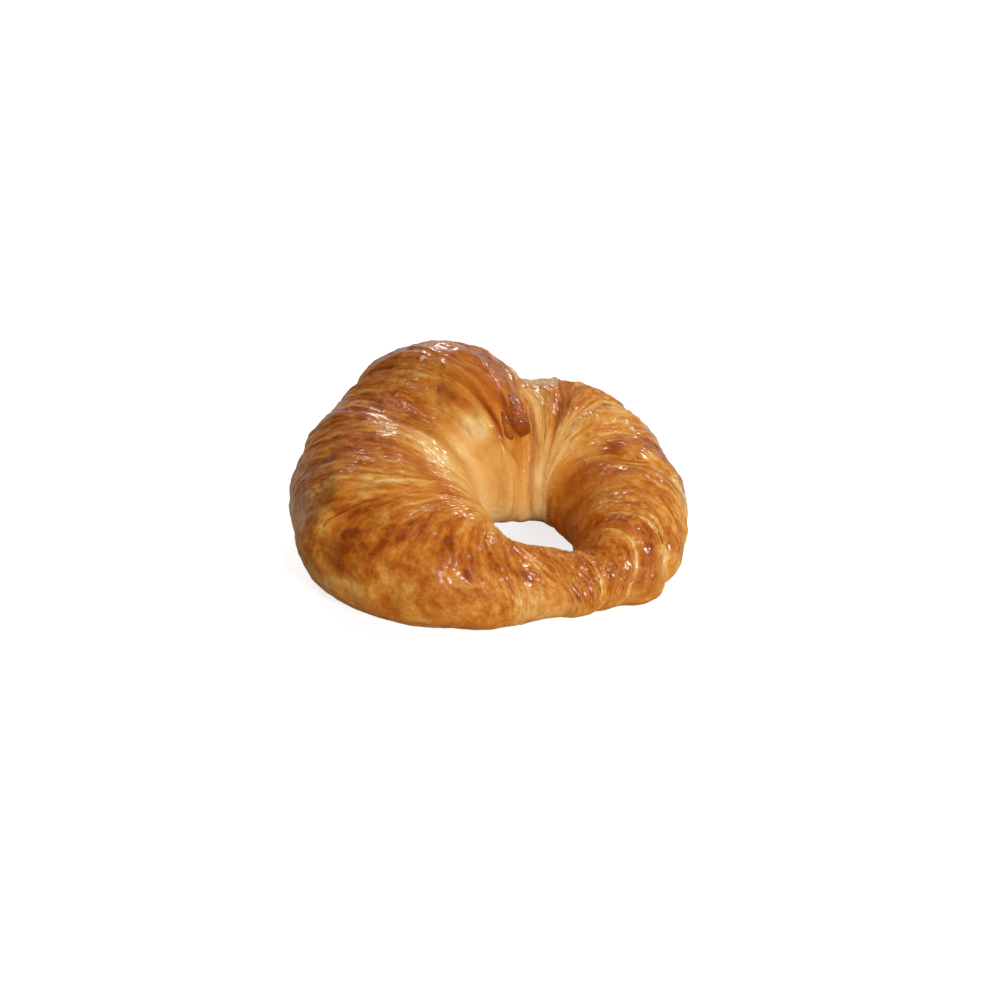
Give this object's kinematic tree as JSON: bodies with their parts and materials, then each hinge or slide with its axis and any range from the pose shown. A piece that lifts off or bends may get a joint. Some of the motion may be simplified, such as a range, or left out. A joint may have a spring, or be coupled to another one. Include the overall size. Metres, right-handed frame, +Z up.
{
  "type": "curved butter croissant",
  "caption": "Golden brown crescent pastry whose horns meet in a ring round an open hole, with stepped dough wraps, a curled tip over the belly and a flat base.",
  "frame": {"origin": "middle of the outline in plan, on the surface that the croissant rests on", "axes": "+Z up; +X to the right as seen from the front, where the two horns meet; +Y to the back, away from the front"},
  "size_m": [0.1296, 0.1102, 0.0595],
  "materials": {
    "crust": "baked flaky crust, golden to dark brown, glossy with egg wash"
  },
  "bodies": {
    "root": {"croissant": "crust"}
  },
  "joints": []
}
